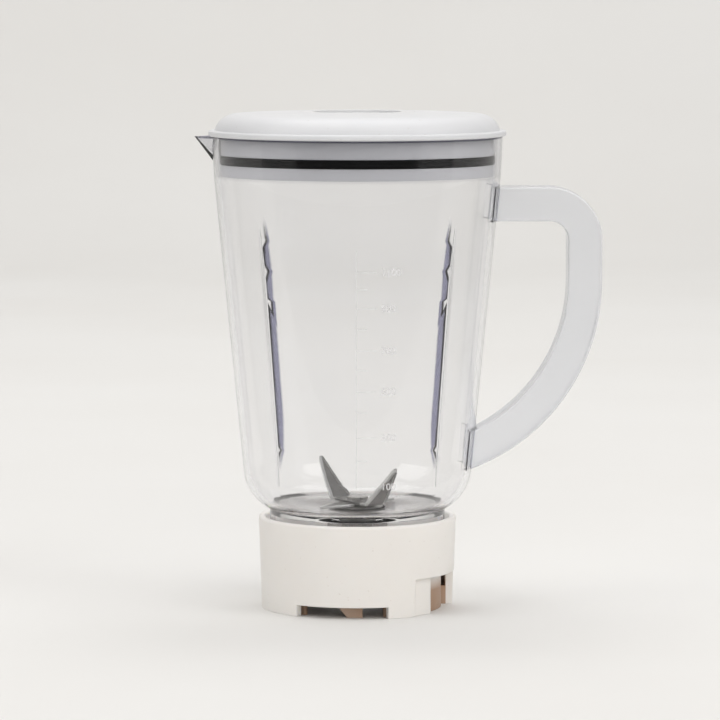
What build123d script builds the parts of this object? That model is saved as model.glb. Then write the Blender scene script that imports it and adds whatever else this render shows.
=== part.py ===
"""Jar of a countertop blender: collar, clear jar with its blade unit, and lid.

Millimetres. +Z is up, the jar's axis is Z, and z = 0 is the foot of the collar.
The handle is on the +X side, the pouring spout on the -X side.
"""

import os
from math import asin, cos, degrees, radians, sin, sqrt, tan

from build123d import *

# ---------------------------------------------------------------- collar
collar_height = 44.0
collar_top_radius = 47.4
collar_foot_radius = 45.9
collar_top_wall = 3.4
skirt_wall = 3.4
deck_height = 22.0          # underside of the deck that the jar's neck stands over
deck_thickness = 3.0
socket_radius = 38.0        # the bore that drops over the motor base
socket_wall = 2.2
notch_height = 5.5
notch_from, notch_to = 231.5, 288.5   # degrees about Z, seen from above
lug_from, lug_to = 257.0, 273.5
lug_slant = 3.8             # how far the lug's leading edge leans back towards its foot
latch_height = 17.7
latch_depth = 2.0           # of the entry pocket; the rest goes right through the skirt
latch_from, latch_step, latch_to = -53.6, -37.6, 6.0
latch_slot_low, latch_slot_high = 8.8, 15.0   # left open at the latch's end face
latch_web_angle = 3.0

# ---------------------------------------------------------------- jar
jar_wall = 2.6
jar_height = 178.1          # from the top of the neck to the rim
rim_outer_radius = 69.3
band_radius = 68.5          # where the tapered side ends and the rim band begins
band_height = 18.6
side_draft = 5.6            # degrees
shoulder_lift = 3.5         # gap between the collar's top and the shoulder
shoulder_radius = 22.0
neck_radius = 42.0
neck_drop = 16.5            # how far the neck reaches below the collar's top
floor_thickness = 3.0
floor_dish = 2.6            # fall of the floor from the wall to the seat of the blade unit
seat_radius = 15.0
spindle_hole_radius = 9.0

spout_reach = 8.3           # tip beyond the rim
spout_half_width = 14.0
spout_drop = 11.5
spout_wall = 1.6
spout_web = 1.3             # wall under the channel

rib_count = 4
rib_depth = 1.7             # how far a rib stands into the jar
rib_base_width = 2.2
rib_crest_width = 0.8
rib_rise = 10.0             # foot of a rib above the floor
rib_drop = 39.6             # head of a rib below the rim
rib_head_point = 34.0        # length of the pointed head
rib_foot_point = 30.0
rib_taper_steps = 6         # the pointed ends fade in by this many sections

# ---------------------------------------------------------------- bayonet between jar and collar
bayonet_count = 3
bayonet_first = 80.0        # degrees
lug_angle = 16.0
lug_height = 3.0
lug_reach = 1.4             # how far a lug stands out of the neck
hook_angle = 16.0
hook_height = 3.0
hook_top_drop = 3.0         # hook top below the collar's top
bayonet_gap = 0.35

# ---------------------------------------------------------------- handle
grip_width = 24.0
grip_depth = 16.2
grip_drop = 23.8            # handle's top below the rim
grip_reach = 116.4          # outermost face from the jar's axis
grip_corner_radius = 25.0
grip_straight = 20.0        # upright stretch between the corner and the lower sweep
grip_foot_rise = 20.0       # where the sweep's outside meets the jar, above the shoulder's start
grip_edge = 1.0
grip_root = 45.0            # the moulding's blank ends inside the wall before it is trimmed
pad_thickness = 0.6
pad_half_width = 19.0

# ---------------------------------------------------------------- lid
lid_gap = 0.25
lid_flange_radius = 71.0
lid_flange_thickness = 2.7
lid_shoulder_radius = 68.0
lid_crown_radius = 58.0
lid_crown_rise = 10.6
lid_crown_swell = 0.9
lid_round = 10.5
lid_wall = 2.4
plug_clearance = 0.8
plug_wall = 2.4
plug_depth = 18.4
gasket_height = 4.2
gasket_top_drop = 8.6       # gasket top below the jar's rim
gasket_clearance = 0.3
gasket_groove = 1.2
cap_radius = 27.0
cap_hole_radius = 23.5
cap_clearance = 0.35
cap_thickness = 2.2
cap_skirt = 12.0
cap_wall = 2.0
cap_dish = 7.0
cap_bar_width = 9.0

# ---------------------------------------------------------------- blade unit
housing_flange_radius = 12.5
housing_flange = 1.0
housing_radius = 8.7
housing_length = 13.0       # below the flange
floor_gasket = 0.6
nut_across_flats = 25.0
nut_thickness = 4.0
washer_thickness = 1.0
washer_radius = 13.5
spindle_radius = 3.0
bush_wall = 1.6
bush_length = 5.0
running_clearance = 0.03
end_play = 0.15
seal_height = 2.0
seal_clearance = 0.05
thrust_washer = 0.4
blade_thickness = 1.2
upper_blade_reach = 32.0
upper_blade_lift = 48.0     # degrees above level
upper_blade_turn = -56.0    # degrees about Z
upper_blade_root = 12.0     # width of the strip
upper_blade_bend = 15.0     # where the arms turn up
lower_blade_reach = 24.0
lower_blade_drop = 1.0
lower_blade_turn = 44.0
lower_blade_root = 12.0
lower_blade_bend = 10.5
blade_tip = 2.4
hub_washer_radius = 5.6
hub_washer = 0.4
blade_nut_flats = 9.0
blade_nut_height = 1.5
circlip_height = 0.8
circlip_reach = 1.6
coupling_radius = 13.0
coupling_height = 9.0
coupling_teeth = 6
coupling_tooth_depth = 3.0
coupling_tooth_width = 4.0
coupling_gap = 0.4          # under the circlip
coupling_room = 3.5         # between its teeth and the hole in the deck
insert_radius = 5.5

# ---------------------------------------------------------------- heights and radii that follow
shoulder_z = collar_height + shoulder_lift
rim_z = shoulder_z + jar_height
band_z = rim_z - band_height
neck_foot_z = collar_height - neck_drop
deck_top_z = deck_height + deck_thickness
deck_hole_radius = coupling_radius + coupling_room
side_slope = tan(radians(side_draft))
band_slope = (rim_outer_radius - band_radius) / band_height


def side_radius(z):
    """Outer radius of the jar on its tapered side or rim band."""
    if z > band_z:
        return band_radius + (z - band_z) * band_slope
    return band_radius - (band_z - z) * side_slope


def inner_radius(z):
    return side_radius(z) - jar_wall


def ring_sector(inner, outer, start, end):
    """Flat piece of a ring between two radii and two angles in degrees."""
    first = (cos(radians(start)), sin(radians(start)))
    last = (cos(radians(end)), sin(radians(end)))
    with BuildSketch() as piece:
        with BuildLine():
            Line((inner * first[0], inner * first[1]), (outer * first[0], outer * first[1]))
            CenterArc((0, 0), outer, start, end - start)
            Line((outer * last[0], outer * last[1]), (inner * last[0], inner * last[1]))
            CenterArc((0, 0), inner, end, start - end)
        make_face()
    return piece.sketch


# The shoulder arc starts on the neck and runs tangent into the tapered side.
side_direction = (-sin(radians(side_draft)), -cos(radians(side_draft)))
side_inward = (-cos(radians(side_draft)), sin(radians(side_draft)))
to_start = (
    band_radius + shoulder_radius * side_inward[0] - neck_radius,
    band_z + shoulder_radius * side_inward[1] - shoulder_z,
)
along = to_start[0] * side_direction[0] + to_start[1] * side_direction[1]
beyond = to_start[0] ** 2 + to_start[1] ** 2 - shoulder_radius**2
side_length = -along - sqrt(along**2 - beyond)
shoulder_end = (
    band_radius + side_length * side_direction[0],
    band_z + side_length * side_direction[1],
)

# The inner corner shares the shoulder's centre, and the floor is where it turns level.
corner_x = shoulder_end[0] + shoulder_radius * side_inward[0]
corner_z = shoulder_end[1] + shoulder_radius * side_inward[1]
inner_corner_radius = shoulder_radius - jar_wall * cos(radians(side_draft))
inner_turn = (
    corner_x - inner_corner_radius * side_inward[0],
    corner_z - inner_corner_radius * side_inward[1],
)
floor_z = corner_z - inner_corner_radius
floor_under_z = floor_z - floor_thickness
seat_z = floor_z - floor_dish
seat_under_z = seat_z - floor_thickness
rib_low = floor_z + rib_rise
rib_high = rim_z - rib_drop

# The handle's lower sweep: two arcs about one centre. The outer one is tangent to the upright
# stretch and meets the jar's side at the foot.
grip_top = rim_z - grip_drop
sweep_z = grip_top - grip_corner_radius - grip_straight
grip_foot_low = shoulder_z + grip_foot_rise
foot_in = grip_reach - side_radius(grip_foot_low)
foot_down = sweep_z - grip_foot_low
grip_sweep_radius = (foot_in**2 + foot_down**2) / (2 * foot_in)
sweep_x = grip_reach - grip_sweep_radius
inner_sweep = grip_sweep_radius - grip_depth
grip_foot_high = sweep_z - inner_sweep
for _ in range(20):
    foot_reach = side_radius(grip_foot_high) - sweep_x
    grip_foot_high = sweep_z - sqrt(inner_sweep**2 - foot_reach**2)

os.makedirs("parts", exist_ok=True)


def save(piece, name):
    piece.part.label = name
    export_step(piece.part, f"parts/{name}.step")


# ================================================================ base collar
# White moulding: an outer skirt and an inner socket ring hang from a deck, and the cup above it
# holds the jar's neck by three bayonet hooks.
skirt_inner = collar_foot_radius - skirt_wall
with BuildPart() as base_collar:
    with BuildSketch(Plane.XZ):
        with BuildLine():
            Polyline(
                (deck_hole_radius, deck_height),
                (socket_radius, deck_height),
                (socket_radius, 0),
                (socket_radius + socket_wall, 0),
                (socket_radius + socket_wall, deck_height - 2),
                (skirt_inner, deck_height - 2),
                (skirt_inner, 0),
                (collar_foot_radius, 0),
                (collar_top_radius, collar_height),
                (collar_top_radius - collar_top_wall, collar_height),
                (collar_top_radius - collar_top_wall, deck_top_z),
                (deck_hole_radius, deck_top_z),
                close=True,
            )
        make_face()
    revolve(axis=Axis.Z)
    rims = base_collar.edges().filter_by(GeomType.CIRCLE).filter_by_position(
        Axis.Z, collar_height - 0.01, collar_height + 0.01
    )
    fillet(rims, 1.2)
    # drive notches in the skirt, and the same in the socket ring but for one lug left standing
    clear_of_collar = collar_top_radius + 5
    ring_outer = socket_radius + socket_wall
    for turn in (0, 180):
        with BuildSketch(Plane.XY):
            add(ring_sector(ring_outer, clear_of_collar, notch_from + turn, notch_to + turn))
            for start, end in ((notch_from, lug_from), (lug_to, notch_to)):
                add(ring_sector(socket_radius - 1, ring_outer + 0.01, start + turn, end + turn))
        extrude(amount=notch_height, mode=Mode.SUBTRACT)
        # the lug's leading edge leans back towards its foot
        lug_edge = socket_radius * cos(radians(lug_from))
        with BuildSketch(Plane.XZ.rotated((0, 0, turn))):
            with BuildLine():
                Polyline(
                    (lug_edge - 2, 0),
                    (lug_edge + lug_slant, 0),
                    (lug_edge - 1, notch_height),
                    (lug_edge - 2, notch_height),
                    close=True,
                )
            make_face()
        extrude(amount=ring_outer, mode=Mode.SUBTRACT)
    # latch: a shallow entry pocket, then an opening through the skirt
    for depth_to, start, end in (
        (collar_foot_radius - latch_depth, latch_from, latch_step),
        (ring_outer, latch_step, latch_to),
    ):
        with BuildSketch(Plane.XY):
            add(ring_sector(depth_to, clear_of_collar, start, end))
        extrude(amount=latch_height, mode=Mode.SUBTRACT)
    # webs close the groove at the latch's end face, but for a slot
    for low, high in ((0, latch_slot_low), (latch_slot_high, latch_height)):
        with BuildSketch(Plane.XY.offset(low)):
            add(ring_sector(ring_outer - 0.5, skirt_inner + 0.5, latch_to,
                            latch_to + latch_web_angle))
        extrude(amount=high - low)
    # bayonet hooks inside the cup
    hook_top = collar_height - hook_top_drop
    hook_inner = neck_radius + bayonet_gap
    hook_root = collar_top_radius - collar_top_wall + 1
    for index in range(bayonet_count):
        middle = bayonet_first + index * 360 / bayonet_count
        with BuildSketch(Plane.XY.offset(hook_top - hook_height)):
            add(ring_sector(hook_inner, hook_root, middle - hook_angle / 2, middle + hook_angle / 2))
        extrude(amount=hook_height)
save(base_collar, "base_collar")

# ================================================================ jar body
# Clear moulding: tapered side, rim band, round shoulder, neck, floor, spout, ribs and pads.
neck_inner = neck_radius - jar_wall
with BuildPart() as jar_body:
    with BuildSketch(Plane.XZ):
        with BuildLine():
            Polyline(
                (corner_x, floor_z),
                (seat_radius, seat_z),
                (0, seat_z),
                (0, seat_under_z),
                (seat_radius, seat_under_z),
                (neck_inner, floor_under_z),
                (neck_inner, neck_foot_z),
                (neck_radius, neck_foot_z),
                (neck_radius, shoulder_z),
            )
            RadiusArc((neck_radius, shoulder_z), shoulder_end, -shoulder_radius)
            Polyline(
                shoulder_end,
                (band_radius, band_z),
                (rim_outer_radius, rim_z),
                (inner_radius(rim_z), rim_z),
                (inner_radius(band_z), band_z),
                inner_turn,
            )
            RadiusArc(inner_turn, (corner_x, floor_z), inner_corner_radius)
        make_face()
    revolve(axis=Axis.Z)
    # spout: a V-shaped beak that grows out of the rim band
    beak_root = side_radius(rim_z) * cos(asin(spout_half_width / rim_outer_radius)) - 1
    beak_tip = rim_outer_radius + spout_reach
    low_root = side_radius(rim_z - spout_drop) - 0.4
    with BuildSketch(Plane.XY.offset(rim_z)):
        with BuildLine():
            Polyline(
                (-beak_root, -spout_half_width),
                (-beak_tip, 0),
                (-beak_root, spout_half_width),
                close=True,
            )
        make_face()
    with BuildSketch(Plane.XY.offset(rim_z - spout_drop)):
        with BuildLine():
            Polyline((-low_root + 1, -1), (-low_root - 0.5, 0), (-low_root + 1, 1), close=True)
        make_face()
    loft()
    channel_root = beak_root - 6
    channel_drop = spout_drop - spout_web
    channel_low = side_radius(rim_z - channel_drop) - jar_wall - 1
    with BuildSketch(Plane.XY.offset(rim_z + 0.01)):
        with BuildLine():
            Polyline(
                (-channel_root, -spout_half_width + spout_wall / 2),
                (-beak_root, -spout_half_width + spout_wall),
                (-beak_tip + spout_wall, 0),
                (-beak_root, spout_half_width - spout_wall),
                (-channel_root, spout_half_width - spout_wall / 2),
                close=True,
            )
        make_face()
    with BuildSketch(Plane.XY.offset(rim_z - channel_drop)):
        with BuildLine():
            Polyline(
                (-channel_low + 2, -2.4),
                (-channel_low, -2),
                (-channel_low - 1.2, 0),
                (-channel_low, 2),
                (-channel_low + 2, 2.4),
                close=True,
            )
        make_face()
    loft(mode=Mode.SUBTRACT)
    # pointed ribs down the inside; a section with no depth lies inside the wall
    shares = [step / rib_taper_steps for step in range(rib_taper_steps + 1)]
    rib_sections = [
        (rib_low + rib_foot_point * share, rib_depth * share * (2 - share)) for share in shares
    ] + [
        (rib_high - rib_head_point * share, rib_depth * share * (2 - share)) for share in reversed(shares)
    ]
    for index in range(rib_count):
        turn = 45 + index * 360 / rib_count
        for height, depth in rib_sections:
            with BuildSketch(Plane.XY.offset(height).rotated((0, 0, turn))):
                with BuildLine():
                    root_x = inner_radius(height) + jar_wall / 2
                    crest_x = inner_radius(height) - depth + 0.1
                    Polyline(
                        (root_x, -rib_base_width / 2),
                        (root_x, rib_base_width / 2),
                        (crest_x, rib_crest_width / 2),
                        (crest_x, -rib_crest_width / 2),
                        close=True,
                    )
                make_face()
        loft(ruled=True)
    # pads that the handle's two ends are welded to
    for low, high in ((grip_top - grip_depth, grip_top), (grip_foot_low, grip_foot_high)):
        half_turn = degrees(asin(pad_half_width / side_radius(low)))
        with BuildSketch(Plane.XZ.rotated((0, 0, -half_turn))):
            with BuildLine():
                Polyline(
                    (side_radius(low) - jar_wall / 2, low),
                    (side_radius(low) + pad_thickness, low),
                    (side_radius(high) + pad_thickness, high),
                    (side_radius(high) - jar_wall / 2, high),
                    close=True,
                )
            make_face()
        revolve(axis=Axis.Z, revolution_arc=2 * half_turn)
    # bayonet lugs on the neck, under the collar's hooks
    lug_top = collar_height - hook_top_drop - hook_height - bayonet_gap
    for index in range(bayonet_count):
        middle = bayonet_first + index * 360 / bayonet_count
        with BuildSketch(Plane.XY.offset(lug_top - lug_height)):
            add(ring_sector(neck_radius - 1, neck_radius + lug_reach, middle - lug_angle / 2,
                            middle + lug_angle / 2))
        extrude(amount=lug_height)
    # hole for the blade unit's housing
    with BuildSketch(Plane.XY.offset(seat_under_z - 1)):
        Circle(spindle_hole_radius)
    extrude(amount=floor_thickness + 2, mode=Mode.SUBTRACT)
save(jar_body, "jar_body")

# ================================================================ handle
# Clear moulding of rectangular section, bent in one plane and welded to the two pads.
with BuildPart() as handle:
    with BuildSketch(Plane.XZ):
        with BuildLine():
            outer_end = (grip_root, sweep_z - sqrt(grip_sweep_radius**2 - (grip_root - sweep_x) ** 2))
            inner_end = (grip_root, sweep_z - sqrt(inner_sweep**2 - (grip_root - sweep_x) ** 2))
            inner_reach = grip_reach - grip_depth
            inner_corner = grip_corner_radius - grip_depth
            bend_x = grip_reach - grip_corner_radius
            bend_z = grip_top - grip_corner_radius
            Line((grip_root, grip_top), (bend_x, grip_top))
            CenterArc((bend_x, bend_z), grip_corner_radius, 90, -90)
            Line((grip_reach, bend_z), (grip_reach, sweep_z))
            RadiusArc((grip_reach, sweep_z), outer_end, grip_sweep_radius)
            Line(outer_end, inner_end)
            RadiusArc(inner_end, (inner_reach, sweep_z), -inner_sweep)
            Line((inner_reach, sweep_z), (inner_reach, bend_z))
            CenterArc((bend_x, bend_z), inner_corner, 0, 90)
            Line((bend_x, grip_top - grip_depth), (grip_root, grip_top - grip_depth))
            Line((grip_root, grip_top - grip_depth), (grip_root, grip_top))
        make_face()
    extrude(amount=grip_width / 2, both=True)
    fillet(handle.faces().filter_by(Axis.Y).edges(), grip_edge)
    with BuildSketch(Plane.XZ):
        with BuildLine():
            Polyline(
                (0, grip_foot_low - 10),
                (side_radius(grip_foot_low - 10) + pad_thickness, grip_foot_low - 10),
                (side_radius(band_z) + pad_thickness, band_z),
                (0, band_z),
                close=True,
            )
        make_face()
    revolve(axis=Axis.Z, mode=Mode.SUBTRACT)
save(handle, "handle")

# ================================================================ lid
# White moulding: flange on the rim, domed crown with a recess for the filler cap, plug below.
lid_seat_z = rim_z + lid_gap
flange_top_z = lid_seat_z + lid_flange_thickness
crown_z = lid_seat_z + lid_crown_rise
plug_foot_z = rim_z - plug_depth
plug_radius = inner_radius(plug_foot_z) - plug_clearance
plug_inner = plug_radius - plug_wall
groove_radius = plug_radius - gasket_groove
gasket_top_z = rim_z - gasket_top_drop
gasket_foot_z = gasket_top_z - gasket_height
crown_top_z = crown_z + lid_crown_swell
ledge_z = crown_top_z - cap_thickness
recess_radius = cap_radius + cap_clearance
with BuildPart() as lid_shell:
    with BuildSketch(Plane.XZ):
        with BuildLine():
            Polyline(
                (recess_radius, ledge_z),
                (recess_radius, crown_top_z),
                (recess_radius + 6, crown_top_z),
                (lid_crown_radius, crown_z),
            )
            RadiusArc((lid_crown_radius, crown_z), (lid_shoulder_radius, flange_top_z), lid_round)
            Polyline(
                (lid_shoulder_radius, flange_top_z),
                (lid_flange_radius, flange_top_z),
                (lid_flange_radius, lid_seat_z),
                (plug_radius, lid_seat_z),
                (plug_radius, gasket_top_z),
                (groove_radius, gasket_top_z),
                (groove_radius, gasket_foot_z),
                (plug_radius, gasket_foot_z),
                (plug_radius, plug_foot_z),
                (plug_inner, plug_foot_z),
                (plug_inner, flange_top_z),
            )
            RadiusArc(
                (plug_inner, flange_top_z),
                (lid_crown_radius - lid_wall, crown_z - lid_wall),
                -lid_round + lid_wall,
            )
            Polyline(
                (lid_crown_radius - lid_wall, crown_z - lid_wall),
                (recess_radius + 6, crown_top_z - lid_wall),
                (recess_radius + lid_wall, ledge_z - lid_wall),
                (cap_hole_radius, ledge_z - lid_wall),
                (cap_hole_radius, ledge_z),
                (recess_radius, ledge_z),
            )
        make_face()
    revolve(axis=Axis.Z)
    flange_rim = lid_shell.edges().filter_by(GeomType.CIRCLE).filter_by(
        lambda edge: abs(edge.radius - lid_flange_radius) < 0.01)
    fillet(flange_rim, lid_flange_thickness * 0.35)
save(lid_shell, "lid_shell")

# Black rubber ring in the plug's groove, with two small lips towards the jar.
gasket_radius = inner_radius(gasket_foot_z) - gasket_clearance
with BuildPart() as lid_gasket:
    with BuildSketch(Plane.XZ):
        lip = gasket_height / 4
        with BuildLine():
            Polyline(
                (groove_radius, gasket_foot_z),
                (gasket_radius - lip / 2, gasket_foot_z),
                (gasket_radius, gasket_foot_z + lip),
                (gasket_radius - lip / 3, gasket_foot_z + 2 * lip),
                (gasket_radius, gasket_foot_z + 3 * lip),
                (gasket_radius - lip / 2, gasket_top_z),
                (groove_radius, gasket_top_z),
                close=True,
            )
        make_face()
    revolve(axis=Axis.Z)
save(lid_gasket, "lid_gasket")

# Filler cap: a dished cup with a finger bar, flush with the crown.
cap_seat_z = ledge_z + lid_gap
cap_top_z = crown_top_z
cap_skirt_radius = cap_hole_radius - cap_clearance
cap_dish_radius = cap_skirt_radius - cap_wall
with BuildPart() as filler_cap:
    with BuildSketch(Plane.XZ):
        with BuildLine():
            Polyline(
                (0, cap_top_z - cap_dish),
                (cap_dish_radius, cap_top_z - cap_dish),
                (cap_dish_radius, cap_top_z),
                (cap_radius, cap_top_z),
                (cap_radius, cap_seat_z),
                (cap_skirt_radius, cap_seat_z),
                (cap_skirt_radius, cap_top_z - cap_skirt),
                (cap_dish_radius, cap_top_z - cap_skirt),
                (cap_dish_radius, cap_top_z - cap_dish - cap_wall),
                (0, cap_top_z - cap_dish - cap_wall),
                close=True,
            )
        make_face()
    revolve(axis=Axis.Z)
    with BuildSketch(Plane.XY.offset(cap_top_z - cap_dish - cap_wall / 2)):
        Rectangle(2 * cap_dish_radius + cap_wall, cap_bar_width)
    extrude(amount=cap_dish + cap_wall / 2 - 0.6)
save(filler_cap, "filler_cap")

# ================================================================ blade unit, fixed parts
def turned_ring(inner, outer, low, high):
    """Plain ring about the jar's axis."""
    with BuildPart() as ring:
        with BuildSketch(Plane.XY.offset(low)):
            Circle(outer)
            if inner > 0:
                Circle(inner, mode=Mode.SUBTRACT)
        extrude(amount=high - low)
    return ring


flange_foot_z = seat_z + floor_gasket
flange_top = flange_foot_z + housing_flange
housing_foot_z = flange_foot_z - housing_length
bush_radius = spindle_radius + bush_wall
bush_bore = spindle_radius + running_clearance

# Steel housing with a dished flange over the jar's floor; its stem goes down through the hole.
with BuildPart() as bearing_housing:
    with BuildSketch(Plane.XZ):
        with BuildLine():
            Polyline(
                (bush_radius, housing_foot_z),
                (housing_radius, housing_foot_z),
                (housing_radius, flange_foot_z),
                (housing_flange_radius, flange_foot_z),
                (housing_flange_radius, flange_foot_z + housing_flange / 2),
                (housing_flange_radius - 2, flange_top),
                (bush_radius, flange_top),
                close=True,
            )
        make_face()
    revolve(axis=Axis.Z)
save(bearing_housing, "bearing_housing")

floor_seal = turned_ring(housing_radius, housing_flange_radius + 0.8, seat_z, flange_foot_z)
save(floor_seal, "housing_gasket")

washer_foot_z = seat_under_z - washer_thickness
lock_washer = turned_ring(housing_radius, washer_radius, washer_foot_z, seat_under_z)
save(lock_washer, "lock_washer")

with BuildPart() as housing_nut:
    with BuildSketch(Plane.XY.offset(washer_foot_z - nut_thickness)):
        RegularPolygon(nut_across_flats / 2, 6, major_radius=False)
        Circle(housing_radius, mode=Mode.SUBTRACT)
    extrude(amount=nut_thickness)
save(housing_nut, "housing_nut")

seal_foot_z = flange_top - seal_height
upper_bush = turned_ring(bush_bore, bush_radius, seal_foot_z - bush_length, seal_foot_z)
save(upper_bush, "upper_bush")
lower_bush = turned_ring(bush_bore, bush_radius, housing_foot_z, housing_foot_z + bush_length)
save(lower_bush, "lower_bush")
shaft_seal = turned_ring(spindle_radius + seal_clearance, bush_radius, seal_foot_z, flange_top)
save(shaft_seal, "shaft_seal")

# ================================================================ blade unit, turning parts
rotor_foot_z = flange_top + end_play
lower_blade_z = rotor_foot_z + thrust_washer
upper_blade_z = lower_blade_z + blade_thickness
hub_washer_z = upper_blade_z + blade_thickness
blade_nut_z = hub_washer_z + hub_washer
spindle_top_z = blade_nut_z + blade_nut_height
circlip_top_z = housing_foot_z - end_play
circlip_foot_z = circlip_top_z - circlip_height
coupling_top_z = circlip_foot_z - coupling_gap
coupling_foot_z = coupling_top_z - coupling_height

thrust_ring = turned_ring(spindle_radius, hub_washer_radius, rotor_foot_z, lower_blade_z)
save(thrust_ring, "thrust_washer")
hub_ring = turned_ring(spindle_radius, hub_washer_radius, hub_washer_z, blade_nut_z)
save(hub_ring, "blade_washer")
circlip = turned_ring(spindle_radius, spindle_radius + circlip_reach, circlip_foot_z, circlip_top_z)
save(circlip, "circlip")
spindle = turned_ring(0, spindle_radius, coupling_foot_z + 1, spindle_top_z)
save(spindle, "spindle")

with BuildPart() as blade_nut:
    with BuildSketch(Plane.XY.offset(blade_nut_z)):
        RegularPolygon(blade_nut_flats / 2, 6, major_radius=False)
        Circle(spindle_radius, mode=Mode.SUBTRACT)
    extrude(amount=blade_nut_height)
save(blade_nut, "blade_nut")


def cross_blade(hub_z, reach, root, bend, lift, turn):
    """Two-armed blade stamped from strip, its arms bent by `lift` degrees and tapered in plan."""
    rise = tan(radians(lift)) * (reach - bend)
    skew = tan(radians(lift / 2)) * blade_thickness
    depth = blade_thickness / cos(radians(lift))
    side = Plane(origin=(0, 0, hub_z), x_dir=(cos(radians(turn)), sin(radians(turn)), 0),
                 z_dir=(sin(radians(turn)), -cos(radians(turn)), 0))
    with BuildPart() as blade:
        with BuildSketch(side):
            with BuildLine():
                Polyline(
                    (bend, 0),
                    (reach, rise),
                    (reach, rise + depth),
                    (bend - skew, blade_thickness),
                    (skew - bend, blade_thickness),
                    (-reach, rise + depth),
                    (-reach, rise),
                    (-bend, 0),
                    close=True,
                )
            make_face()
        extrude(amount=root, both=True)
        with BuildSketch(Plane.XY.offset(hub_z - 2 * reach).rotated((0, 0, turn))) as plan:
            with BuildLine():
                Polyline(
                    (bend, root / 2),
                    (reach, blade_tip / 2),
                    (reach, -blade_tip / 2),
                    (bend, -root / 2),
                    (-bend, -root / 2),
                    (-reach, -blade_tip / 2),
                    (-reach, blade_tip / 2),
                    (-bend, root / 2),
                    close=True,
                )
            make_face()
            Circle(spindle_radius, mode=Mode.SUBTRACT)
            tips = plan.vertices().filter_by(lambda corner: abs(abs(corner.X) - reach) < 0.01)
            fillet(tips, blade_tip * 0.45)
        extrude(amount=4 * reach, mode=Mode.INTERSECT)
    return blade


save(cross_blade(lower_blade_z, lower_blade_reach, lower_blade_root, lower_blade_bend,
                 -lower_blade_drop, lower_blade_turn), "lower_blade")
save(cross_blade(upper_blade_z, upper_blade_reach, upper_blade_root, upper_blade_bend,
                 upper_blade_lift, upper_blade_turn), "upper_blade")

# Drive coupling: a toothed plastic hub moulded round a brass insert on the spindle's lower end.
with BuildPart() as drive_coupling:
    with BuildSketch(Plane.XY.offset(coupling_foot_z)):
        Circle(coupling_radius - coupling_tooth_depth)
        with PolarLocations(coupling_radius - coupling_tooth_depth, coupling_teeth):
            Rectangle(2 * coupling_tooth_depth, coupling_tooth_width)
        Circle(insert_radius, mode=Mode.SUBTRACT)
    extrude(amount=coupling_height)
save(drive_coupling, "drive_coupling")
coupling_insert = turned_ring(spindle_radius, insert_radius, coupling_foot_z, coupling_top_z)
save(coupling_insert, "coupling_insert")
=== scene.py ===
from math import cos, radians, sin

import bpy
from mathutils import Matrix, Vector


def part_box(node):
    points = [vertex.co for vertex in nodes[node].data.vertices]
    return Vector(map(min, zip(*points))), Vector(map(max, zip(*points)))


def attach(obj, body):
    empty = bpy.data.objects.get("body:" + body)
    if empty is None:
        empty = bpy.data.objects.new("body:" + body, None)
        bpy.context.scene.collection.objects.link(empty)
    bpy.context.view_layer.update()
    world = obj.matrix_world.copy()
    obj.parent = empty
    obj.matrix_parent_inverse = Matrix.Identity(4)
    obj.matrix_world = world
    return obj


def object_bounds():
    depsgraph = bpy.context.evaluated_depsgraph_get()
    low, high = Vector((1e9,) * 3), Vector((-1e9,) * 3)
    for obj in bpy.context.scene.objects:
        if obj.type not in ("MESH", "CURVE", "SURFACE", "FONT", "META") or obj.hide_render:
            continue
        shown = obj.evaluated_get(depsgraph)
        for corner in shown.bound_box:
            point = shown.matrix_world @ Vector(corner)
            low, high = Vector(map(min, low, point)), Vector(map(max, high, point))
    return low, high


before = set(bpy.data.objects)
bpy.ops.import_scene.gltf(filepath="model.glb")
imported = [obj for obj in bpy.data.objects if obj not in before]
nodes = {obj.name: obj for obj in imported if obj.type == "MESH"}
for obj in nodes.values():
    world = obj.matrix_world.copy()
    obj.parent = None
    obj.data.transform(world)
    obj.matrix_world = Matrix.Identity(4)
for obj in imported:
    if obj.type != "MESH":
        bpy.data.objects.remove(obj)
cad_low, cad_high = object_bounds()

# ======================================================================== camera
# Long lens a little above the rim, looking down on the jar by about five degrees.
scene = bpy.context.scene
camera_place = Vector((0.0, -1.9307, 0.2978))
camera_aim = Vector((0.00126, 0.0, 0.1185))
camera = bpy.data.objects.new("camera", bpy.data.cameras.new("camera"))
scene.collection.objects.link(camera)
camera.location = camera_place
camera.rotation_euler = (camera_aim - camera_place).to_track_quat("-Z", "Y").to_euler()
camera.data.lens = 202.4
camera.data.sensor_width = 36.0
camera.data.clip_end = 20.0
scene.camera = camera
scene.view_settings.view_transform = "Standard"


# ======================================================================== studio
# A roll of pale paper that runs from the table up the back wall, with its own faint mottle.
def add_node(tree, kind, inputs=(), **settings):
    """Adds a shader node; an input is given a value or the socket that feeds it."""
    node = tree.nodes.new(kind)
    for key, value in settings.items():
        setattr(node, key, value)
    for key, value in dict(inputs).items():
        if isinstance(value, bpy.types.NodeSocket):
            tree.links.new(value, node.inputs[key])
        else:
            node.inputs[key].default_value = value
    return node


def new_group(name, inputs, outputs):
    """A shader group with these (label, socket type, default) inputs and (label, type) outputs."""
    tree = bpy.data.node_groups.new(name, "ShaderNodeTree")
    for label, kind, value in inputs:
        tree.interface.new_socket(name=label, in_out="INPUT", socket_type=kind).default_value = value
    for label, kind in outputs:
        tree.interface.new_socket(name=label, in_out="OUTPUT", socket_type=kind)
    return tree, tree.nodes.new("NodeGroupInput").outputs, tree.nodes.new("NodeGroupOutput").inputs


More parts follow.
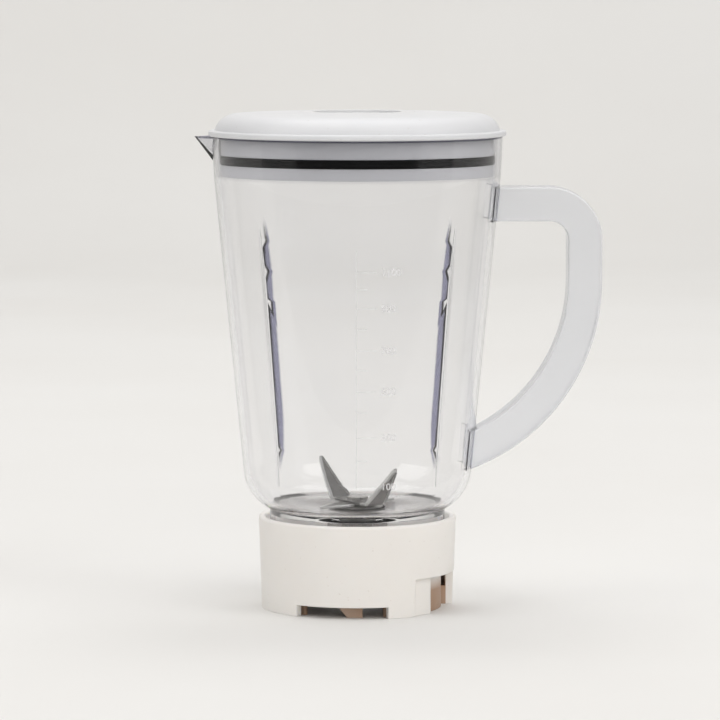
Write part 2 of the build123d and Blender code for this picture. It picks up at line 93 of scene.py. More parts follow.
def blend_colours(tree, factor, first, second):
    """The result socket of a colour mix."""
    mix = add_node(tree, "ShaderNodeMix", data_type="RGBA")
    for socket, value in ((mix.inputs[0], factor), (mix.inputs[6], first), (mix.inputs[7], second)):
        if isinstance(value, bpy.types.NodeSocket):
            tree.links.new(value, socket)
        else:
            socket.default_value = value
    return mix.outputs[2]


def spread(tree, value, from_low, from_high, to_low, to_high):
    """The result socket of a clamped map range."""
    inputs = {"Value": value, "From Min": from_low, "From Max": from_high, "To Min": to_low,
              "To Max": to_high}
    return add_node(tree, "ShaderNodeMapRange", inputs).outputs["Result"]


def calculate(tree, operation, *values):
    """The result socket of a math node."""
    node = add_node(tree, "ShaderNodeMath", operation=operation)
    for index, value in enumerate(values):
        if isinstance(value, bpy.types.NodeSocket):
            tree.links.new(value, node.inputs[index])
        else:
            node.inputs[index].default_value = value
    return node.outputs[0]


def noise(tree, where, scale, detail):
    """The factor socket of a noise texture."""
    inputs = {"Vector": where, "Scale": scale, "Detail": detail}
    return add_node(tree, "ShaderNodeTexNoise", inputs).outputs["Fac"]


def axis_distance(tree, where):
    """How far a point lies from the upright axis."""
    flat = add_node(tree, "ShaderNodeVectorMath", {0: where, 1: (1, 1, 0)}, operation="MULTIPLY")
    length = add_node(tree, "ShaderNodeVectorMath", {0: flat.outputs["Vector"]}, operation="LENGTH")
    return length.outputs["Value"]


def edge_turn(tree, round_edge):
    """The cosine between a rounded edge's normal and the true one: under one only at an edge."""
    facing = add_node(tree, "ShaderNodeNewGeometry").outputs["Normal"]
    dot = add_node(tree, "ShaderNodeVectorMath", {0: round_edge, 1: facing}, operation="DOT_PRODUCT")
    return dot.outputs["Value"]


def bumped(tree, distance, height, normal):
    """The normal socket of a bump of the given depth."""
    inputs = {"Strength": 1.0, "Distance": distance, "Height": height, "Normal": normal}
    return add_node(tree, "ShaderNodeBump", inputs).outputs["Normal"]


def start_material(name, group, links, values, group_values=()):
    """A Principled material whose sockets are fed by a group; values set plain sockets."""
    material = bpy.data.materials.new(name)
    material.use_nodes = True
    tree = material.node_tree
    shader = tree.nodes["Principled BSDF"]
    finish = add_node(tree, "ShaderNodeGroup", node_tree=group)
    for label, value in dict(group_values).items():
        finish.inputs[label].default_value = value
    for label, target in links.items():
        tree.links.new(finish.outputs[label], shader.inputs[target])
    for label, value in values.items():
        shader.inputs[label].default_value = value
    return material, tree, shader, finish


paper_group, given, result = new_group(
    "paper_mottle",
    [("Pale", "NodeSocketColor", (0.80, 0.795, 0.78, 1)),
     ("Deep", "NodeSocketColor", (0.775, 0.765, 0.745, 1))],
    [("Colour", "NodeSocketColor"), ("Roughness", "NodeSocketFloat")],
)
where = add_node(paper_group, "ShaderNodeTexCoord").outputs["Object"]
mottle = noise(paper_group, where, 2.2, 4.0)
tone = spread(paper_group, mottle, 0.3, 0.7, 0.0, 1.0)
paper_group.links.new(blend_colours(paper_group, tone, given["Pale"], given["Deep"]), result["Colour"])
paper_group.links.new(spread(paper_group, mottle, 0.0, 1.0, 0.85, 0.95), result["Roughness"])
paper, _, _, _ = start_material(
    "studio_paper", paper_group, {"Colour": "Base Color", "Roughness": "Roughness"},
    {"Specular IOR Level": 0.2},
)


def paper_sheet(name, profile):
    """A strip of paper, six metres wide, along the (y, z) points of its profile."""
    mesh = bpy.data.meshes.new(name)
    points = [(x, y, z) for y, z in profile for x in (-3.0, 3.0)]
    faces = [(2 * row, 2 * row + 1, 2 * row + 3, 2 * row + 2) for row in range(len(profile) - 1)]
    mesh.from_pydata(points, [], faces)
    mesh.polygons.foreach_set("use_smooth", [True] * len(faces))
    mesh.materials.append(paper)
    sheet = bpy.data.objects.new(name, mesh)
    scene.collection.objects.link(sheet)
    return sheet


paper_bend, paper_radius, paper_front, paper_top = 2.3, 0.9, -0.34, 3.4
bend_steps = 24
profile = [(paper_front, 0.0), (paper_bend, 0.0)]
for step in range(1, bend_steps + 1):
    angle = radians(90) * step / bend_steps
    profile.append((paper_bend + paper_radius * sin(angle), paper_radius * (1 - cos(angle))))
profile.append((paper_bend + paper_radius, paper_top))
paper_sheet("studio_sweep", profile)
# The table in front of the jar is kept out of its reflections, as if it ended there.
table_middle, table_edge = -1.2, -3.2
paper_sheet("studio_front", [(table_middle, 0.0), (paper_front, 0.0)]).visible_glossy = False
edge_sheet = paper_sheet("studio_edge", [(table_edge, 0.0), (table_middle, 0.0)])
edge_sheet.visible_glossy = False
edge_sheet.visible_transmission = False


def soft_light(name, place, width, height, power, colour, aim=(0, 0, 0.13)):
    """A rectangular soft box turned towards the middle of the jar, or towards another point."""
    lamp = bpy.data.lights.new(name, "AREA")
    lamp.shape = "RECTANGLE"
    lamp.size = width
    lamp.size_y = height
    lamp.energy = power
    lamp.color = colour
    holder = bpy.data.objects.new(name, lamp)
    scene.collection.objects.link(holder)
    holder.location = place
    holder.rotation_euler = (Vector(aim) - Vector(place)).to_track_quat("-Z", "Y").to_euler()


soft_light("box_left", (-2.25, -0.85, 1.75), 1.9, 2.0, 22, (1.0, 0.985, 0.97))
soft_light("box_right", (2.05, -1.2, 1.75), 1.7, 2.0, 24, (1.0, 0.985, 0.97))
soft_light("box_above", (0.0, 0.5, 3.8), 4.2, 4.2, 106, (1.0, 0.99, 0.98))
soft_light("wash_back", (0.0, 0.9, 3.0), 3.4, 0.6, 17, (1.0, 0.99, 0.98), (0, 3.2, 0.9))
soft_light("fill_front", (0.5, -3.0, 1.1), 2.4, 2.0, 32, (1.0, 0.99, 0.98))
scene.objects["fill_front"].visible_glossy = False
scene.objects["fill_front"].visible_transmission = False
air = bpy.data.worlds.new("studio_air")
scene.world = air
air.use_nodes = True
air.node_tree.nodes["Background"].inputs["Color"].default_value = (1.0, 0.99, 0.975, 1)
air.node_tree.nodes["Background"].inputs["Strength"].default_value = 0.13

# ======================================================================== base collar
# White ABS ring, injection moulded, fine spark-eroded grain, with painted brown shade low on the inside,
# where it lies in shadow.
# The jar's neck twists into it by three bayonet hooks, and the collar drops over a motor base.
moulded_group, given, result = new_group(
    "moulded_plastic",
    [
        ("Colour", "NodeSocketColor", (0.8, 0.8, 0.8, 1)),
        ("Shade", "NodeSocketColor", (0.7, 0.7, 0.7, 1)),
        ("Worn", "NodeSocketColor", (0.9, 0.9, 0.9, 1)),
        ("Specks", "NodeSocketColor", (0.4, 0.36, 0.3, 1)),
        ("Smoothest", "NodeSocketFloat", 0.35),
        ("Roughest", "NodeSocketFloat", 0.5),
        ("Edge Radius", "NodeSocketFloat", 0.0005),
        ("Grain", "NodeSocketFloat", 0.00002),
        ("Painted Shade", "NodeSocketColor", (0.5, 0.5, 0.5, 1)),
        ("Painted Shade Radius", "NodeSocketFloat", 0.0),
    ],
    [("Colour", "NodeSocketColor"), ("Roughness", "NodeSocketFloat"), ("Normal", "NodeSocketVector")],
)
where = add_node(moulded_group, "ShaderNodeTexCoord").outputs["Object"]
cloud = noise(moulded_group, where, 28.0, 5.0)
fine = noise(moulded_group, where, 2600.0, 2.0)
dust = noise(moulded_group, where, 620.0, 1.0)
rub = noise(moulded_group, where, 160.0, 4.0)
round_edge = add_node(moulded_group, "ShaderNodeBevel", {"Radius": given["Edge Radius"]}, samples=6)
round_edge = round_edge.outputs["Normal"]
turned = edge_turn(moulded_group, round_edge)
edge = spread(moulded_group, turned, 0.995, 0.86, 0.0, 1.0)
worn = calculate(moulded_group, "MULTIPLY", edge, spread(moulded_group, rub, 0.42, 0.62, 0.0, 0.8))
speck = spread(moulded_group, dust, 0.735, 0.78, 0.0, 0.35)
tone = spread(moulded_group, cloud, 0.35, 0.7, 0.0, 1.0)
colour = blend_colours(moulded_group, tone, given["Colour"], given["Shade"])
colour = blend_colours(moulded_group, worn, colour, given["Worn"])
colour = blend_colours(moulded_group, speck, colour, given["Specks"])
radius = axis_distance(moulded_group, where)
height = add_node(moulded_group, "ShaderNodeSeparateXYZ", {"Vector": where}).outputs["Z"]
# Painted shade: brown darkening low inside the bore, within the given radius, where the collar's inside
# lies in shadow.
low = calculate(moulded_group, "MULTIPLY", spread(moulded_group, height, 0.016, 0.010, 0.0, 1.0),
                spread(moulded_group, cloud, 0.25, 0.6, 0.75, 1.0))
within = calculate(moulded_group, "LESS_THAN", radius, given["Painted Shade Radius"])
painted_shade = calculate(moulded_group, "MULTIPLY", within, low)
moulded_group.links.new(blend_colours(moulded_group, painted_shade, colour, given["Painted Shade"]), result["Colour"])
rough = add_node(
    moulded_group, "ShaderNodeMapRange",
    {"Value": calculate(moulded_group, "ADD", calculate(moulded_group, "MULTIPLY", rub, 0.6),
                        calculate(moulded_group, "MULTIPLY", cloud, 0.4)),
     "From Min": 0.3, "From Max": 0.7, "To Min": given["Smoothest"], "To Max": given["Roughest"]},
).outputs["Result"]
moulded_group.links.new(rough, result["Roughness"])
moulded_group.links.new(bumped(moulded_group, given["Grain"], fine, round_edge), result["Normal"])
moulded_links = {"Colour": "Base Color", "Roughness": "Roughness", "Normal": "Normal"}


def dress(node, material):
    """Gives a CAD node its material."""
    mesh = nodes[node].data
    mesh.materials.clear()
    mesh.materials.append(material)


collar_plastic, _, _, _ = start_material(
    "collar_plastic", moulded_group, moulded_links,
    {"IOR": 1.5, "Specular IOR Level": 0.45, "Subsurface Weight": 0.08,
     "Subsurface Radius": (0.002, 0.0016, 0.0012), "Subsurface Scale": 1.0},
    {"Colour": (0.89, 0.865, 0.83, 1), "Shade": (0.87, 0.84, 0.80, 1), "Worn": (0.92, 0.90, 0.87, 1),
     "Specks": (0.64, 0.58, 0.52, 1), "Smoothest": 0.38, "Roughest": 0.52, "Edge Radius": 0.0007,
     # The brown below is painted shade for the shadowed inside of the bore.
     "Grain": 0.00003, "Painted Shade": (0.42, 0.27, 0.18, 1), "Painted Shade Radius": 0.0428},
)
dress("base_collar", collar_plastic)

# ======================================================================== jar body
# Clear styrene moulding, polished, with pointed ribs and a beak; faint flow marks and wiping
# scratches. The pads on its side carry the handle, and its neck stands in the collar.
clear_group, given, result = new_group(
    "clear_moulding",
    [
        ("Clear", "NodeSocketColor", (0.97, 0.975, 0.985, 1)),
        ("Haze", "NodeSocketColor", (0.93, 0.94, 0.955, 1)),
        ("Polish", "NodeSocketFloat", 0.012),
        ("Dull", "NodeSocketFloat", 0.07),
        ("Ripple", "NodeSocketFloat", 0.00002),
        ("Rib Low", "NodeSocketFloat", 0.058),
        ("Rib High", "NodeSocketFloat", 0.186),
        ("Rim", "NodeSocketFloat", 0.2256),
        ("Wall Start", "NodeSocketFloat", 0.0),
        ("Wall Slope", "NodeSocketFloat", 0.098),
    ],
    [("Colour", "NodeSocketColor"), ("Roughness", "NodeSocketFloat"), ("Height", "NodeSocketFloat"),
     ("Rib", "NodeSocketFloat"), ("Rim", "NodeSocketFloat"), ("Edge", "NodeSocketFloat"),
     ("Normal", "NodeSocketVector")],
)
where = add_node(clear_group, "ShaderNodeTexCoord").outputs["Object"]
tall = add_node(clear_group, "ShaderNodeMapping", {"Vector": where, "Scale": (1.0, 1.0, 0.18)})
flow = noise(clear_group, tall.outputs["Vector"], 34.0, 3.0)
smear = noise(clear_group, where, 21.0, 6.0)
wiped = add_node(clear_group, "ShaderNodeMapping", {"Vector": where, "Scale": (240.0, 240.0, 2600.0)})
scratch = noise(clear_group, wiped.outputs["Vector"], 1.0, 2.0)
scratches = calculate(clear_group, "MULTIPLY", spread(clear_group, scratch, 0.66, 0.72, 0.0, 1.0),
                      spread(clear_group, smear, 0.5, 0.62, 0.0, 1.0))
round_edge = add_node(clear_group, "ShaderNodeBevel", {"Radius": 0.0006}, samples=4).outputs["Normal"]
turned = edge_turn(clear_group, round_edge)
edge = spread(clear_group, turned, 0.995, 0.8, 0.0, 1.0)
haze = calculate(clear_group, "MAXIMUM", calculate(clear_group, "MULTIPLY", edge, 0.6),
                 spread(clear_group, smear, 0.45, 0.75, 0.0, 0.5))
clear_group.links.new(blend_colours(clear_group, haze, given["Clear"], given["Haze"]), result["Colour"])
dull = calculate(clear_group, "MAXIMUM", calculate(clear_group, "MULTIPLY", scratches, 0.7),
                 spread(clear_group, smear, 0.42, 0.75, 0.0, 0.6))
clear_group.links.new(
    add_node(clear_group, "ShaderNodeMapRange",
             {"Value": dull, "To Min": given["Polish"], "To Max": given["Dull"]}).outputs["Result"],
    result["Roughness"],
)
clear_group.links.new(calculate(clear_group, "MULTIPLY", flow, given["Ripple"]), result["Height"])
place = add_node(clear_group, "ShaderNodeSeparateXYZ", {"Vector": where}).outputs
turn_inputs = {"Vector": where, "Axis": (0, 0, 1), "Angle": radians(45)}
slant = add_node(clear_group, "ShaderNodeVectorRotate", turn_inputs, rotation_type="AXIS_ANGLE")
slant = add_node(clear_group, "ShaderNodeSeparateXYZ", {"Vector": slant.outputs["Vector"]}).outputs
beside = calculate(clear_group, "MINIMUM", calculate(clear_group, "ABSOLUTE", slant["X"]),
                   calculate(clear_group, "ABSOLUTE", slant["Y"]))
radius = axis_distance(clear_group, where)
wall = calculate(clear_group, "MULTIPLY_ADD", place["Z"], given["Wall Slope"], given["Wall Start"])
inside = calculate(clear_group, "LESS_THAN", radius, wall)
# Painted shade: a thin dark bluish line up each rib at the back, standing in for the darkness that
# refraction gives the ribs.
full_low, full_high, rib_half_width = 0.078, 0.168, 0.0009
foot = spread(clear_group, place["Z"], given["Rib Low"], full_low, 0.0, 1.0)
head = spread(clear_group, place["Z"], full_high, given["Rib High"], 1.0, 0.0)
span = calculate(clear_group, "MULTIPLY", foot, head)
near = calculate(clear_group, "SUBTRACT", beside, calculate(clear_group, "MULTIPLY", span, rib_half_width))
near = spread(clear_group, near, -0.0003, 0.0, 1.0, 0.0)
behind = spread(clear_group, place["Y"], 0.0, 0.01, 0.0, 1.0)
painted_rib_shade = calculate(clear_group, "MULTIPLY", calculate(clear_group, "MULTIPLY", near, inside), behind)
clear_group.links.new(painted_rib_shade, result["Rib"])
# Painted shade: a dark line along the rim's top, and a light bluish darkening over the top 19 mm of the
# wall, where the lid's plug behind it lies in shadow under the flange.
below_rim = calculate(clear_group, "SUBTRACT", given["Rim"], place["Z"])
rim_top_shade = spread(clear_group, below_rim, 0.0012, 0.0002, 0.0, 1.0)
rim_band_shade = spread(clear_group, below_rim, 0.0200, 0.0185, 0.0, 0.16)
clear_group.links.new(calculate(clear_group, "MAXIMUM", rim_top_shade, rim_band_shade), result["Rim"])
clear_group.links.new(edge, result["Edge"])
clear_group.links.new(round_edge, result["Normal"])


def clear_material(name, values, group_values, rim_tint, edge_shade_tint, shadow):
    """Clear plastic: bluish where it is seen edge-on, with painted dark shade at its edges, on the back
    ribs and along the rim, and it lets light through in shadow.
    """
    material, tree, shader, finish = start_material(
        name, clear_group, {"Roughness": "Roughness"}, values, group_values)
    edge_on = add_node(tree, "ShaderNodeLayerWeight", {"Blend": 0.5}).outputs["Facing"]
    edge_on = spread(tree, edge_on, 0.62, 1.0, 0.0, 1.0)
    colour = blend_colours(tree, edge_on, finish.outputs["Colour"], rim_tint)
    # Painted shade: dark bluish colour along the rounded edges, where refraction makes clear plastic look
    # dark.
    colour = blend_colours(tree, finish.outputs["Edge"], colour, edge_shade_tint)
    # Painted shade on the back ribs.
    colour = blend_colours(tree, finish.outputs["Rib"], colour, (0.10, 0.10, 0.19, 1))
    # Painted shade along the rim.
    colour = blend_colours(tree, finish.outputs["Rim"], colour, (0.16, 0.16, 0.24, 1))
    tree.links.new(colour, shader.inputs["Base Color"])
    normal = bumped(tree, 1.0, finish.outputs["Height"], finish.outputs["Normal"])
    tree.links.new(normal, shader.inputs["Normal"])
    shaded = add_node(tree, "ShaderNodeBsdfTransparent", {"Color": shadow}).outputs["BSDF"]
    ray = add_node(tree, "ShaderNodeLightPath").outputs["Is Shadow Ray"]
    mix = add_node(tree, "ShaderNodeMixShader", {0: ray, 1: shader.outputs["BSDF"], 2: shaded})
    tree.links.new(mix.outputs["Shader"], tree.nodes["Material Output"].inputs["Surface"])
    return material


bpy.context.view_layer.update()
jar = nodes["jar_body"]
to_jar = jar.matrix_world.inverted()


def wall_point(x, z):
    """The point of the jar's front wall straight behind (x, z)."""
    start = to_jar @ Vector((x, cad_low[1] - 0.02, z))
    _, place, _, _ = jar.ray_cast(start, to_jar.to_3x3() @ Vector((0, 1, 0)))
    return jar.matrix_world @ place


# A line up the middle of the tapered wall tells the ribs' inner surfaces from the outside.
jar_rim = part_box("jar_body")[1][2]
probe_low, probe_high, half_wall = 0.08, 0.17, 0.0013
wall_low, wall_high = -wall_point(0, probe_low).y, -wall_point(0, probe_high).y
wall_slope = (wall_high - wall_low) / (probe_high - probe_low)
wall_start = wall_low - half_wall - probe_low * wall_slope
jar_plastic = clear_material(
    "jar_plastic",
    {"IOR": 1.38, "Transmission Weight": 1.0, "Metallic": 0.0, "Specular IOR Level": 0.4},
    {"Clear": (0.975, 0.975, 0.98, 1), "Haze": (0.945, 0.95, 0.96, 1), "Polish": 0.008, "Dull": 0.05,
     "Ripple": 0.00003, "Rim": jar_rim, "Wall Start": wall_start, "Wall Slope": wall_slope},
    # Edge-on tint, painted dark edge shade, and the filter for shadow rays.
    (0.80, 0.81, 0.86, 1), (0.82, 0.83, 0.90, 1), (0.95, 0.95, 0.955, 1),
)
dress("jar_body", jar_plastic)

# ======================================================================== handle
# The same clear plastic, moulded solid and bent in one plane, so it looks milky; its two ends are
# welded to the jar's pads.
handle_plastic = clear_material(
    "handle_plastic",
    {"IOR": 1.49, "Transmission Weight": 0.55, "Metallic": 0.0, "Specular IOR Level": 0.4},
    {"Clear": (0.86, 0.865, 0.88, 1), "Haze": (0.83, 0.84, 0.86, 1), "Polish": 0.10, "Dull": 0.22,
     "Ripple": 0.00004, "Rib High": 0.0, "Rib Low": 1.0, "Rim": 1.0},
    # Edge-on tint, painted dark edge shade, and the filter for shadow rays.
    (0.45, 0.47, 0.56, 1), (0.34, 0.35, 0.45, 1), (0.80, 0.81, 0.83, 1),
)
dress("handle", handle_plastic)

# ======================================================================== printed scale
# Pale ink, screen printed on the outside of the jar's front: a line, ticks and volume numbers,
# worn thin in places by washing.
ink_group, given, result = new_group(
    "screen_ink",
    [("Ink", "NodeSocketColor", (0.8, 0.8, 0.8, 1)), ("Aged", "NodeSocketColor", (0.7, 0.7, 0.7, 1))],
    [("Colour", "NodeSocketColor"), ("Cover", "NodeSocketFloat"), ("Roughness", "NodeSocketFloat")],
)
where = add_node(ink_group, "ShaderNodeTexCoord").outputs["Object"]
age = noise(ink_group, where, 120.0, 4.0)
chips = noise(ink_group, where, 1500.0, 3.0)
ink_group.links.new(blend_colours(ink_group, age, given["Ink"], given["Aged"]), result["Colour"])
ink_group.links.new(
    calculate(ink_group, "MULTIPLY", spread(ink_group, chips, 0.32, 0.45, 0.25, 1.0),
              spread(ink_group, age, 0.3, 0.7, 0.95, 0.6)),
    result["Cover"],
)
ink_group.links.new(spread(ink_group, chips, 0.3, 0.7, 0.35, 0.6), result["Roughness"])
ink, _, _, _ = start_material(
    "scale_ink", ink_group, {"Colour": "Base Color", "Cover": "Alpha", "Roughness": "Roughness"},
    {"Specular IOR Level": 0.3},
    {"Ink": (0.80, 0.80, 0.81, 1), "Aged": (0.70, 0.70, 0.71, 1)},
)

ink_lift = 0.00006


def on_wall(x, z):
    """The wall's point lifted by the ink's thickness."""
    place = wall_point(x, z)
    return place + Vector((place.x, place.y, 0)).normalized() * ink_lift


def printed(name, points, faces):
    """A thin printed shape from flat (x, z) points, laid on the jar's wall."""
    mesh = bpy.data.meshes.new(name)
    mesh.from_pydata([on_wall(x, z) for x, z in points], [], faces)
    mesh.materials.append(ink)
    piece = bpy.data.objects.new(name, mesh)
    scene.collection.objects.link(piece)
    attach(piece, "jar")
    return piece


def strip(x_from, z_from, x_to, z_to, width):
    """Points and quads of a straight printed line, cut every few millimetres to follow the wall."""
    upright = abs(z_to - z_from) > abs(x_to - x_from)
    across = (width / 2, 0) if upright else (0, width / 2)
    count = 24 if upright else 8
    points = []
    for step in range(count + 1):
        part = step / count
        x, z = x_from + (x_to - x_from) * part, z_from + (z_to - z_from) * part
        points += [(x - across[0], z - across[1]), (x + across[0], z + across[1])]
    return points, [(2 * i, 2 * i + 1, 2 * i + 3, 2 * i + 2) for i in range(count)]


print_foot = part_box("base_collar")[1][2]
line_x, line_width = -0.0005, 0.0003
line_low, line_high = print_foot + 0.0185, print_foot + 0.131
printed("scale_line", *strip(line_x, line_low, line_x, line_high, line_width))
long_tick, short_tick = 0.0095, 0.005
text_in, text_down = 0.0115, 0.0016
marks = [(0.0199, "100"), (0.0321, ""), (0.0432, "300"), (0.0551, ""), (0.0650, "500"), (0.0750, ""),
         (0.0843, "700"), (0.0943, ""), (0.1040, "900"), (0.1130, ""), (0.1210, "1100")]
for number, (rise, label) in enumerate(marks):
    height = print_foot + rise
    reach = long_tick if label else short_tick
    printed(f"scale_tick_{number}", *strip(line_x, height, line_x + reach, height, line_width))
    if label:
        writing = bpy.data.curves.new(f"writing_{label}", "FONT")
        writing.body = label
        writing.size = 0.0046
        writing.offset = 0.0001
        carrier = bpy.data.objects.new("writing", writing)
        scene.collection.objects.link(carrier)
        graph = bpy.context.evaluated_depsgraph_get()
        flat = bpy.data.meshes.new_from_object(carrier.evaluated_get(graph))
        outline = [(line_x + text_in + v.co.x, height - text_down + v.co.y) for v in flat.vertices]
        printed(f"scale_number_{label}", outline, [tuple(face.vertices) for face in flat.polygons])
        bpy.data.objects.remove(carrier)
        bpy.data.meshes.remove(flat)

# ======================================================================== lid
# White ABS plug lid, moulded with a domed crown and a thin flange that rests on the jar's rim.
# It is pushed in and held by its gasket.
lid_plastic, _, _, _ = start_material(
    "lid_plastic", moulded_group, moulded_links,
    {"IOR": 1.5, "Specular IOR Level": 0.32, "Subsurface Weight": 0.06,
     "Subsurface Radius": (0.0015, 0.0015, 0.0016), "Subsurface Scale": 1.0},
    {"Colour": (0.73, 0.735, 0.75, 1), "Shade": (0.705, 0.71, 0.73, 1), "Worn": (0.88, 0.88, 0.89, 1),
     "Specks": (0.55, 0.52, 0.48, 1), "Smoothest": 0.30, "Roughest": 0.44, "Edge Radius": 0.0006,
     "Grain": 0.000015},
)
dress("lid_shell", lid_plastic)

# ======================================================================== filler cap
# White moulded cup with a finger bar, dropped into the hole in the lid's crown. Handled most,
# so its bar and edge are rubbed shinier than the lid.
cap_plastic, _, _, _ = start_material(
    "cap_plastic", moulded_group, moulded_links,
    {"IOR": 1.5, "Specular IOR Level": 0.5, "Subsurface Weight": 0.06,
     "Subsurface Radius": (0.0015, 0.0015, 0.0015), "Subsurface Scale": 1.0},
    {"Colour": (0.74, 0.745, 0.755, 1), "Shade": (0.71, 0.71, 0.72, 1), "Worn": (0.90, 0.90, 0.90, 1),
     "Specks": (0.50, 0.46, 0.40, 1), "Smoothest": 0.24, "Roughest": 0.42, "Edge Radius": 0.0005,
     "Grain": 0.000012},
)
dress("filler_cap", cap_plastic)

# ======================================================================== gaskets and shaft seal
# Black nitrile rubber: the lid's lipped ring in its groove, the flat ring under the housing's
# flange and the lip seal round the spindle. Soft matte, with a little bloom and lint.
rubber_group, given, result = new_group(
    "nitrile_rubber",
    [("Rubber", "NodeSocketColor", (0.002, 0.002, 0.0022, 1)),
     ("Bloom", "NodeSocketColor", (0.006, 0.006, 0.0065, 1)),
     ("Lint", "NodeSocketColor", (0.16, 0.15, 0.14, 1))],
    [("Colour", "NodeSocketColor"), ("Roughness", "NodeSocketFloat"), ("Normal", "NodeSocketVector")],
)
where = add_node(rubber_group, "ShaderNodeTexCoord").outputs["Object"]
bloom = noise(rubber_group, where, 60.0, 5.0)
lint = noise(rubber_group, where, 1900.0, 1.0)
pores = noise(rubber_group, where, 3800.0, 2.0)
round_edge = add_node(rubber_group, "ShaderNodeBevel", {"Radius": 0.0003}, samples=4).outputs["Normal"]
tone = spread(rubber_group, bloom, 0.45, 0.7, 0.0, 1.0)
colour = blend_colours(rubber_group, tone, given["Rubber"], given["Bloom"])
colour = blend_colours(rubber_group, spread(rubber_group, lint, 0.76, 0.8, 0.0, 0.3), colour, given["Lint"])
rubber_group.links.new(colour, result["Colour"])
rubber_group.links.new(spread(rubber_group, bloom, 0.3, 0.7, 0.55, 0.8), result["Roughness"])
rubber_group.links.new(bumped(rubber_group, 0.00003, pores, round_edge), result["Normal"])
rubber, _, _, _ = start_material(
    "black_rubber", rubber_group, moulded_links, {"IOR": 1.5, "Specular IOR Level": 0.05})
for node in ("lid_gasket", "housing_gasket", "shaft_seal"):
    dress(node, rubber)

# ======================================================================== housing, washers, nuts, spindle
# Stainless steel turned on a lathe, so its marks run round the axis: the bearing housing and its
# nut and washer that clamp the jar's floor, the spindle, the blade nut, its washer and the circlip.
metal_group, given, result = new_group(
    "cut_metal",
    [
        ("Along", "NodeSocketFloat", 0.0),
        ("Metal", "NodeSocketColor", (0.6, 0.6, 0.6, 1)),
        ("Dark", "NodeSocketColor", (0.4, 0.4, 0.4, 1)),
        ("Rubbed", "NodeSocketColor", (0.8, 0.8, 0.8, 1)),
        ("Smoothest", "NodeSocketFloat", 0.22),
        ("Roughest", "NodeSocketFloat", 0.42),
    ],
    [("Colour", "NodeSocketColor"), ("Roughness", "NodeSocketFloat"), ("Normal", "NodeSocketVector")],
)
where = add_node(metal_group, "ShaderNodeTexCoord").outputs["Object"]
marks_along = calculate(metal_group, "MULTIPLY", given["Along"], 5200.0)
lines = add_node(metal_group, "ShaderNodeTexNoise", {"W": marks_along, "Scale": 1.0, "Detail": 4.0},
                 noise_dimensions="1D").outputs["Fac"]
stain = noise(metal_group, where, 95.0, 6.0)
pits = noise(metal_group, where, 1700.0, 2.0)
round_edge = add_node(metal_group, "ShaderNodeBevel", {"Radius": 0.0003}, samples=6).outputs["Normal"]
turned = edge_turn(metal_group, round_edge)
edge = spread(metal_group, turned, 0.99, 0.8, 0.0, 0.8)
tone = calculate(metal_group, "ADD", calculate(metal_group, "MULTIPLY", lines, 0.6),
                 calculate(metal_group, "MULTIPLY", stain, 0.4))
bright = spread(metal_group, tone, 0.35, 0.65, 0.0, 1.0)
colour = blend_colours(metal_group, bright, given["Dark"], given["Metal"])
pitted = spread(metal_group, pits, 0.72, 0.78, 0.0, 0.5)
colour = blend_colours(metal_group, pitted, colour, (0.08, 0.075, 0.07, 1))
metal_group.links.new(blend_colours(metal_group, edge, colour, given["Rubbed"]), result["Colour"])
metal_group.links.new(
    add_node(metal_group, "ShaderNodeMapRange",
             {"Value": tone, "From Min": 0.3, "From Max": 0.7, "To Min": given["Roughest"],
              "To Max": given["Smoothest"]}).outputs["Result"],
    result["Roughness"],
)
metal_group.links.new(bumped(metal_group, 0.00001, lines, round_edge), result["Normal"])


def turned_metal(name, group_values):
    """Metal with lathe marks, which follow the distance from the jar's axis."""
    material, tree, _, finish = start_material(
        name, metal_group, moulded_links, {"Metallic": 1.0}, group_values)
    where = add_node(tree, "ShaderNodeTexCoord").outputs["Object"]
    radius = axis_distance(tree, where)
    tree.links.new(radius, finish.inputs["Along"])
    return material


turned_steel = turned_metal(
    "turned_steel",
    {"Metal": (0.62, 0.61, 0.60, 1), "Dark": (0.40, 0.39, 0.38, 1), "Rubbed": (0.82, 0.81, 0.80, 1)})
for node in ("bearing_housing", "lock_washer", "housing_nut", "spindle", "blade_nut", "blade_washer",
             "circlip"):
    dress(node, turned_steel)

# ======================================================================== bushes, thrust washer, insert
# Sintered bronze bushes pressed into the housing, the bronze thrust washer under the blades, and
# the turned brass insert moulded into the coupling.
bronze = turned_metal(
    "sintered_bronze",
    {"Metal": (0.50, 0.33, 0.17, 1), "Dark": (0.30, 0.19, 0.09, 1), "Rubbed": (0.70, 0.52, 0.30, 1),
     "Smoothest": 0.35, "Roughest": 0.55})
for node in ("upper_bush", "lower_bush", "thrust_washer"):
    dress(node, bronze)
brass = turned_metal(
    "turned_brass",
    {"Metal": (0.72, 0.54, 0.24, 1), "Dark": (0.50, 0.36, 0.15, 1), "Rubbed": (0.88, 0.74, 0.42, 1)})
dress("coupling_insert", brass)

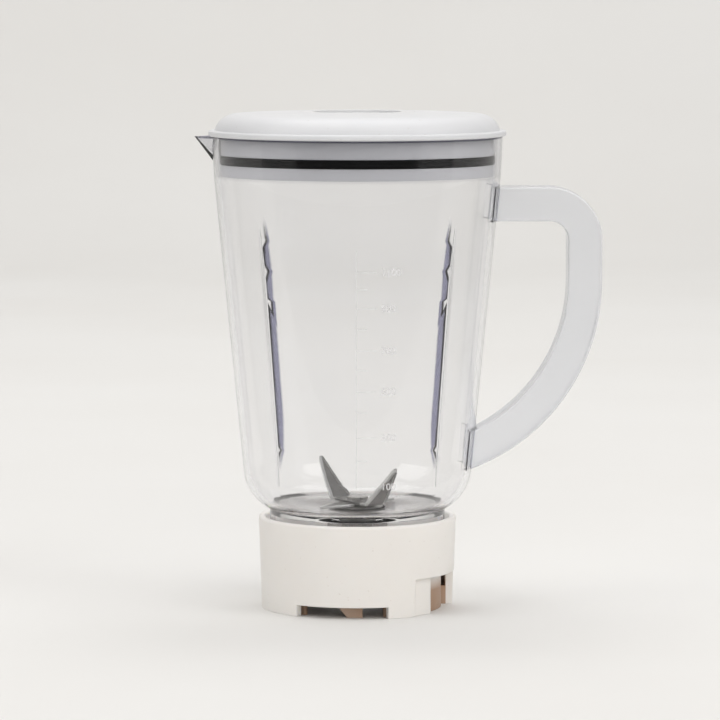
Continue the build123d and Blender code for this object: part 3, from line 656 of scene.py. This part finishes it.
# ======================================================================== blades
# Two arms each, stamped from stainless strip, bent, and ground to an edge along both long sides.
# Clamped on the spindle by the blade nut.
ground_group, given, result = new_group(
    "ground_edge",
    [
        ("Turn", "NodeSocketFloat", 0.0),
        ("Reach", "NodeSocketFloat", 0.03),
        ("Bend", "NodeSocketFloat", 0.01),
        ("Root", "NodeSocketFloat", 0.012),
        ("Tip", "NodeSocketFloat", 0.0024),
        ("Bevel", "NodeSocketFloat", 0.0016),
    ],
    [("Across", "NodeSocketFloat"), ("Mask", "NodeSocketFloat"), ("Height", "NodeSocketFloat")],
)
where = add_node(ground_group, "ShaderNodeTexCoord").outputs["Object"]
turn_inputs = {"Vector": where, "Axis": (0, 0, 1), "Angle": given["Turn"]}
aligned = add_node(ground_group, "ShaderNodeVectorRotate", turn_inputs, rotation_type="AXIS_ANGLE")
parts = add_node(ground_group, "ShaderNodeSeparateXYZ", {"Vector": aligned.outputs["Vector"]}).outputs
out = calculate(ground_group, "ABSOLUTE", parts["X"])
side = calculate(ground_group, "ABSOLUTE", parts["Y"])
run = add_node(ground_group, "ShaderNodeMapRange",
               {"Value": out, "From Min": given["Bend"], "From Max": given["Reach"],
                "To Min": given["Root"], "To Max": given["Tip"]}).outputs["Result"]
inset = calculate(ground_group, "SUBTRACT", calculate(ground_group, "MULTIPLY", run, 0.5), side)
away = calculate(ground_group, "SUBTRACT", given["Bevel"], inset)
arm_start = calculate(ground_group, "MULTIPLY", given["Bend"], 0.72)
along_arm = calculate(ground_group, "GREATER_THAN", out, arm_start)
away = calculate(ground_group, "MULTIPLY", calculate(ground_group, "MAXIMUM", away, 0.0), along_arm)
ground_group.links.new(parts["X"], result["Across"])
ground_group.links.new(calculate(ground_group, "GREATER_THAN", away, 0.00001), result["Mask"])
ground_group.links.new(calculate(ground_group, "MULTIPLY", away, -0.45), result["Height"])


def blade_steel(name, node, turn, bend, root):
    """Strip steel whose ground edges follow the blade's own outline."""
    material, tree, shader, finish = start_material(
        name, metal_group, {"Roughness": "Roughness"}, {"Metallic": 1.0},
        {"Metal": (0.31, 0.30, 0.29, 1), "Dark": (0.20, 0.195, 0.19, 1), "Rubbed": (0.66, 0.66, 0.65, 1),
         "Smoothest": 0.26, "Roughest": 0.46})
    ground = add_node(tree, "ShaderNodeGroup", node_tree=ground_group)
    low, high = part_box(node)
    reach = ((high[0] - low[0]) ** 2 + (high[1] - low[1]) ** 2) ** 0.5 / 2
    for label, value in (("Turn", -radians(turn)), ("Reach", reach), ("Bend", bend), ("Root", root)):
        ground.inputs[label].default_value = value
    tree.links.new(ground.outputs["Across"], finish.inputs["Along"])
    ground_bright = calculate(tree, "MULTIPLY", ground.outputs["Mask"], 0.85)
    colour = blend_colours(tree, ground_bright, finish.outputs["Colour"], (0.80, 0.80, 0.79, 1))
    tree.links.new(colour, shader.inputs["Base Color"])
    normal = bumped(tree, 1.0, ground.outputs["Height"], finish.outputs["Normal"])
    tree.links.new(normal, shader.inputs["Normal"])
    dress(node, material)


blade_steel("upper_blade_steel", "upper_blade", -56, 0.015, 0.012)
blade_steel("lower_blade_steel", "lower_blade", 44, 0.0105, 0.012)

# ======================================================================== drive coupling
# Dark glass-filled nylon hub with six teeth, moulded round the brass insert on the spindle's foot.
nylon, _, _, _ = start_material(
    "coupling_nylon", moulded_group, moulded_links, {"IOR": 1.5, "Specular IOR Level": 0.4},
    {"Colour": (0.035, 0.035, 0.036, 1), "Shade": (0.022, 0.022, 0.023, 1), "Worn": (0.14, 0.14, 0.14, 1),
     "Specks": (0.12, 0.11, 0.10, 1), "Smoothest": 0.42, "Roughest": 0.62, "Edge Radius": 0.0004,
     "Grain": 0.00004},
)
dress("drive_coupling", nylon)
